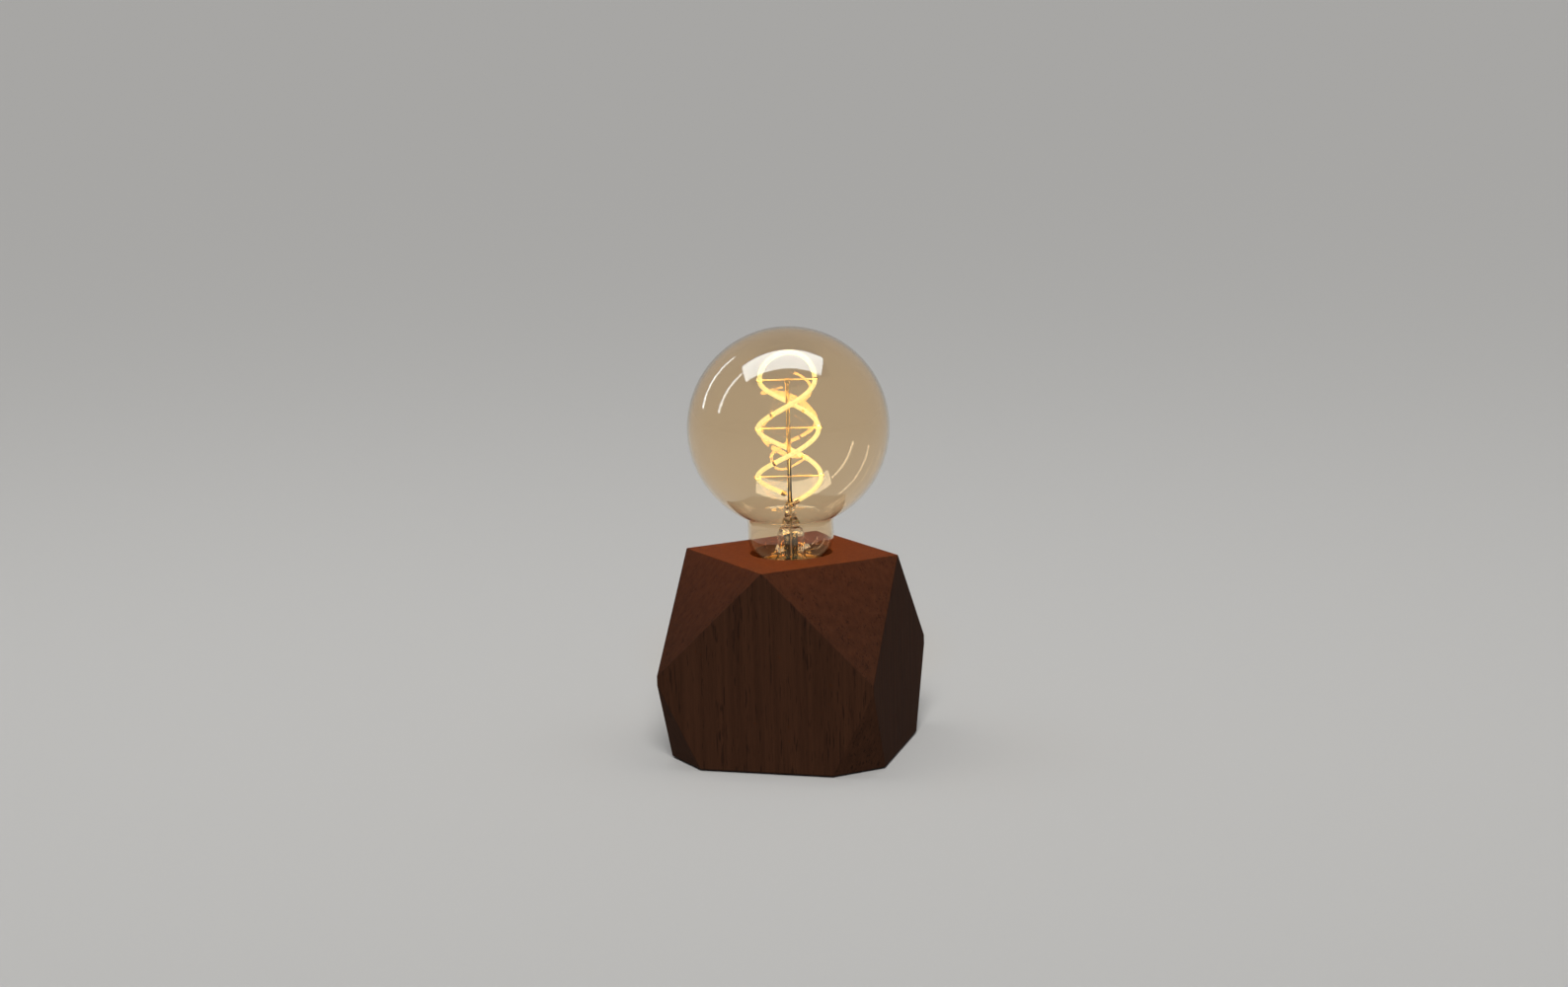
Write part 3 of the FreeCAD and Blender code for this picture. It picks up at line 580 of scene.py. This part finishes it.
def bright_wire():
    """Drawn nickel wire, warmed by heat tint in places."""
    finish, tree, shader, place = new_finish("bright_wire", (0.72, 0.62, 0.50), 0.25, 1.0)
    tint = noise(tree, scaled(tree, place, (120, 120, 120)), 2.0)
    tree.links.new(blended(tree, tint, (0.66, 0.50, 0.32), (0.80, 0.74, 0.64)),
                   shader.inputs["Base Color"])
    tree.links.new(stretched(tree, tint, 0.3, 0.7, 0.2, 0.4), shader.inputs["Roughness"])
    return finish


wire = bright_wire()
for metal in ("filament_supports", "filament_bands", "filament_end_caps", "lead_in_wires"):
    dress(metal, wire)

# Filament. A flexible strip of tiny lamps in a round coat of yellow phosphor silicone. It climbs
# from the press as a double helix, twice half a turn, and closes in an arch over the rod.

STRAND_LOW, STRAND_HIGH, WINDING = 121.0, 177.0, 46.0
ARCH_HALF_WIDTH, ARCH_HALF_DEPTH, ARCH_RISE = 12.9, 4.5, 12.8
FILAMENT_RADIUS = 1.1


def strand(number, height):
    """Centre line of a strand: an elliptical helix of 46 mm pitch. Its half axes shrink towards
    the top with the square of the height, and strand 1 is half a turn from strand 0."""
    up = (height - STRAND_LOW) / (STRAND_HIGH - STRAND_LOW)
    angle = 2 * math.pi * (height - STRAND_HIGH) / WINDING + math.pi * number
    return np.stack([(15.0 - 2.1 * up ** 2) * np.cos(angle), (10.5 - 6.0 * up ** 2) * np.sin(angle),
                     height], axis=-1)


def arch(share):
    """Centre line of the arch: half an ellipse seen from the front, a flat S seen from above, so
    that it leaves each strand along its own direction."""
    angle = math.pi * share
    sway = ARCH_RISE * ARCH_HALF_DEPTH * math.pi / WINDING
    return np.stack([ARCH_HALF_WIDTH * np.cos(angle), sway * np.sin(2 * angle),
                     STRAND_HIGH + ARCH_RISE * np.sin(angle)], axis=-1)


def carried(path, inward, radius, columns):
    """A round section carried along a path. Its first axis is the part of inward that is square
    to the path. radius is one number for each point of the path."""
    tangent = np.gradient(path, axis=0)
    tangent /= np.linalg.norm(tangent, axis=1, keepdims=True)
    first = inward - tangent * np.sum(inward * tangent, axis=1, keepdims=True)
    first /= np.linalg.norm(first, axis=1, keepdims=True)
    second = np.cross(tangent, first)
    turn = ring(columns)[..., None]
    section = first[:, None] * np.cos(turn) + second[:, None] * np.sin(turn)
    return path[:, None] + radius[:, None, None] * section


def filament_tube():
    """The strands and the arch in one path, with rounded ends."""
    climb = np.linspace(STRAND_LOW, STRAND_HIGH, 420)
    path = np.concatenate([strand(0, climb)[:-1], arch(np.linspace(0, 1, 160)),
                           strand(1, climb[::-1])[1:]])
    hub = np.stack([0 * path[:, 0], 0 * path[:, 0], np.minimum(path[:, 2], STRAND_HIGH)], axis=-1)
    inward = path - hub
    radius = np.full(len(path), FILAMENT_RADIUS)
    round_off = np.sqrt(1 - np.linspace(1, 0, 6)[:-1] ** 2)
    radius[:5] *= round_off
    radius[-5:] *= round_off[::-1]
    return in_winding(carried(path, inward, radius, 28)) * MM


def lit_phosphor():
    """Phosphor silicone that glows: bright grains over each tiny lamp, deeper yellow between. What
    mirrors it shows it as strong as it really is, in orange, since only the direct view is held
    below white."""
    finish, tree, shader, place = new_finish("lit_phosphor", (0.30, 0.21, 0.07), 0.6)
    grains = noise(tree, scaled(tree, place, (900, 900, 900)), 2.0)
    glow = blended(tree, stretched(tree, grains, 0.35, 0.65), (0.92, 0.82, 0.36), (1.0, 1.0, 0.54))
    path = tree.nodes.new("ShaderNodeLightPath")
    mirrored = stretched(tree, path.outputs["Glossy Depth"], 0.0, 1.0)
    tree.links.new(blended(tree, mirrored, glow, (1.0, 0.60, 0.13)), shader.inputs["Emission Color"])
    tree.links.new(stretched(tree, mirrored, 0.0, 1.0, 1.06, 15.0), shader.inputs["Emission Strength"])
    return finish


glowing = add_piece("glowing_filament", filament_tube(), lit_phosphor(), "bulb")
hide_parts("filament")

# Floor and backdrop. One plain pale sheet, and a world that the camera, glass and metal see in
# the tone that the sheet has far away, while it lights all else only faintly.

floor_mesh = bpy.data.meshes.new("floor")
floor_mesh.from_pydata([(-30, -30, 0), (30, -30, 0), (30, 30, 0), (-30, 30, 0)], [], [(0, 1, 2, 3)])
floor = bpy.data.objects.new("floor", floor_mesh)
bpy.context.scene.collection.objects.link(floor)
floor_finish, _, floor_shader, _ = new_finish("pale_floor", (0.60, 0.597, 0.59), 0.9)
floor_shader.inputs["Specular IOR Level"].default_value = 0.1
floor_mesh.materials.append(floor_finish)

world = bpy.data.worlds.new("studio")
world.use_nodes = True
bpy.context.scene.world = world
sky = world.node_tree
ambient = sky.nodes["Background"]
ambient.inputs["Color"].default_value = (0.97, 0.985, 1.0, 1)
ambient.inputs["Strength"].default_value = 0.12
seen = sky.nodes.new("ShaderNodeBackground")
seen.inputs["Color"].default_value = (0.371, 0.366, 0.361, 1)
seen.inputs["Strength"].default_value = 1.0
ray = sky.nodes.new("ShaderNodeLightPath")
either = sky.nodes.new("ShaderNodeMixShader")
straight = reckon(sky, "MAXIMUM", ray.outputs["Is Camera Ray"], ray.outputs["Is Transmission Ray"])
straight = reckon(sky, "MAXIMUM", straight, ray.outputs["Is Glossy Ray"])
sky.links.new(straight, either.inputs["Fac"])
sky.links.new(ambient.outputs["Background"], either.inputs[1])
sky.links.new(seen.outputs["Background"], either.inputs[2])
sky.links.new(either.outputs["Shader"], sky.nodes["World Output"].inputs["Surface"])

# Studio light. A broad box overhead, a soft sun from the front right, and the pictures of the box
# and of two tall strips that show as reflections in glass and metal.


def studio_lamp(name, kind, place, aim, energy, colour=(1.0, 0.985, 0.96)):
    """A lamp at a place in metres that faces a point. It isn't seen in reflections."""
    lamp = bpy.data.lights.new(name, kind)
    lamp.energy = energy
    lamp.color = colour
    light = bpy.data.objects.new(name, lamp)
    light.location = place
    light.rotation_euler = (Vector(aim) - Vector(place)).to_track_quat("-Z", "Y").to_euler()
    light.visible_glossy = False
    light.visible_transmission = False
    bpy.context.scene.collection.objects.link(light)
    return light


def reflected_panel(name, corners, strength):
    """A bright sheet that only mirrors and glass show: it lights nothing that scatters light."""
    sheet = bpy.data.meshes.new(name)
    sheet.from_pydata(corners, [], [(0, 1, 2, 3)])
    finish = bpy.data.materials.new(name)
    finish.use_nodes = True
    tree = finish.node_tree
    tree.nodes.clear()
    path = tree.nodes.new("ShaderNodeLightPath")
    first = reckon(tree, "LESS_THAN", path.outputs["Diffuse Depth"], 0.5)
    emission = tree.nodes.new("ShaderNodeEmission")
    emission.inputs["Color"].default_value = (0.78, 0.90, 1.0, 1)
    tree.links.new(reckon(tree, "MULTIPLY", first, strength), emission.inputs["Strength"])
    output = tree.nodes.new("ShaderNodeOutputMaterial")
    tree.links.new(emission.outputs["Emission"], output.inputs["Surface"])
    sheet.materials.append(finish)
    panel = bpy.data.objects.new(name, sheet)
    panel.visible_camera = False
    panel.visible_diffuse = False
    panel.visible_shadow = False
    bpy.context.scene.collection.objects.link(panel)


overhead = studio_lamp("overhead_box", "AREA", (-0.12, 0.01, 1.25), (-0.12, 0.01, 0), 3.6)
overhead.data.shape = "RECTANGLE"
overhead.data.size, overhead.data.size_y = 1.5, 0.55
sun = studio_lamp("soft_sun", "SUN", (0.20, -0.72, 0.62), (0, 0, 0), 2.6)
sun.data.angle = math.radians(22)
reflected_panel("overhead_picture", [(-0.87, 0.06, 1.25), (-0.83, -0.48, 1.25), (0.73, -0.03, 1.25),
                                     (0.49, 0.49, 1.25)], 7.5)
reflected_panel("strip_picture_near", [(-1.2, -0.40, 0.46), (-1.2, -0.33, 0.46), (-1.2, -0.17, 1.62),
                                       (-1.2, -0.24, 1.62)], 8.0)
reflected_panel("strip_picture_far", [(-1.2, 0.24, 0.33), (-1.2, 0.31, 0.33), (-1.2, 0.82, 1.31),
                                      (-1.2, 0.75, 1.31)], 6.0)

# Light of the filament. A small warm lamp in the bulb lights the block, the lampholder's skirt and
# both screw shells, because the tube's own light is held at the level at which it is seen.

glow = bpy.data.lights.new("filament_glow", "POINT")
glow.energy = 2.0
glow.color = (1.0, 0.47, 0.14)
glow.shadow_soft_size = 0.024
glow_lamp = bpy.data.objects.new("filament_glow", glow)
glow_lamp.location = (0, 0, 0.170)
glow_lamp.visible_camera = False
glow_lamp.visible_glossy = False
glow_lamp.visible_transmission = False
bpy.context.scene.collection.objects.link(glow_lamp)
lit_pieces = bpy.data.collections.new("lit_by_the_filament")
for lit in (nodes["wood_body"], nodes["holder_shell"], socket_screw_shell, bulb_screw_cap):
    lit_pieces.objects.link(lit)
glow_lamp.light_linking.receiver_collection = lit_pieces

# Camera: above the front corner of the block, as the photograph was taken.

DISTANCE, FOCAL_PIXELS, PHOTO_WIDTH, PHOTO_HEIGHT = 1.407, 3000.0, 1588, 1000
AIM, AIM_ACROSS, AIM_DOWN = Vector((0, 0, 0.060)), 800.0, 631.9
elevation, azimuth, roll = math.radians(13.0), math.radians(15.65), math.radians(-1.4)
back = Vector((math.sin(azimuth) * math.cos(elevation), -math.cos(azimuth) * math.cos(elevation),
               math.sin(elevation)))
right = (-back).cross(Vector((0, 0, 1))).normalized()
pitch = Matrix.Rotation(math.atan((AIM_DOWN - PHOTO_HEIGHT / 2) / FOCAL_PIXELS), 3, right)
yaw = Matrix.Rotation(math.atan((AIM_ACROSS - PHOTO_WIDTH / 2) / FOCAL_PIXELS), 3, "Z")
forward, top, level = yaw @ (pitch @ -back), yaw @ (pitch @ right.cross(-back)), yaw @ right
sideways = level * math.cos(roll) + top * math.sin(roll)
upright = top * math.cos(roll) - level * math.sin(roll)

camera_data = bpy.data.cameras.new("camera")
camera_data.sensor_width = 36.0
camera_data.lens = FOCAL_PIXELS / PHOTO_WIDTH * camera_data.sensor_width
camera_data.clip_start = 0.01
camera = bpy.data.objects.new("camera", camera_data)
turned = Matrix((sideways, upright, -forward)).transposed().to_4x4()
camera.matrix_world = Matrix.Translation(AIM + back * DISTANCE) @ turned
bpy.context.scene.collection.objects.link(camera)
bpy.context.scene.camera = camera

bpy.context.scene.view_settings.view_transform = "Standard"
bpy.context.scene.cycles.max_bounces = 28
bpy.context.scene.cycles.transmission_bounces = 24
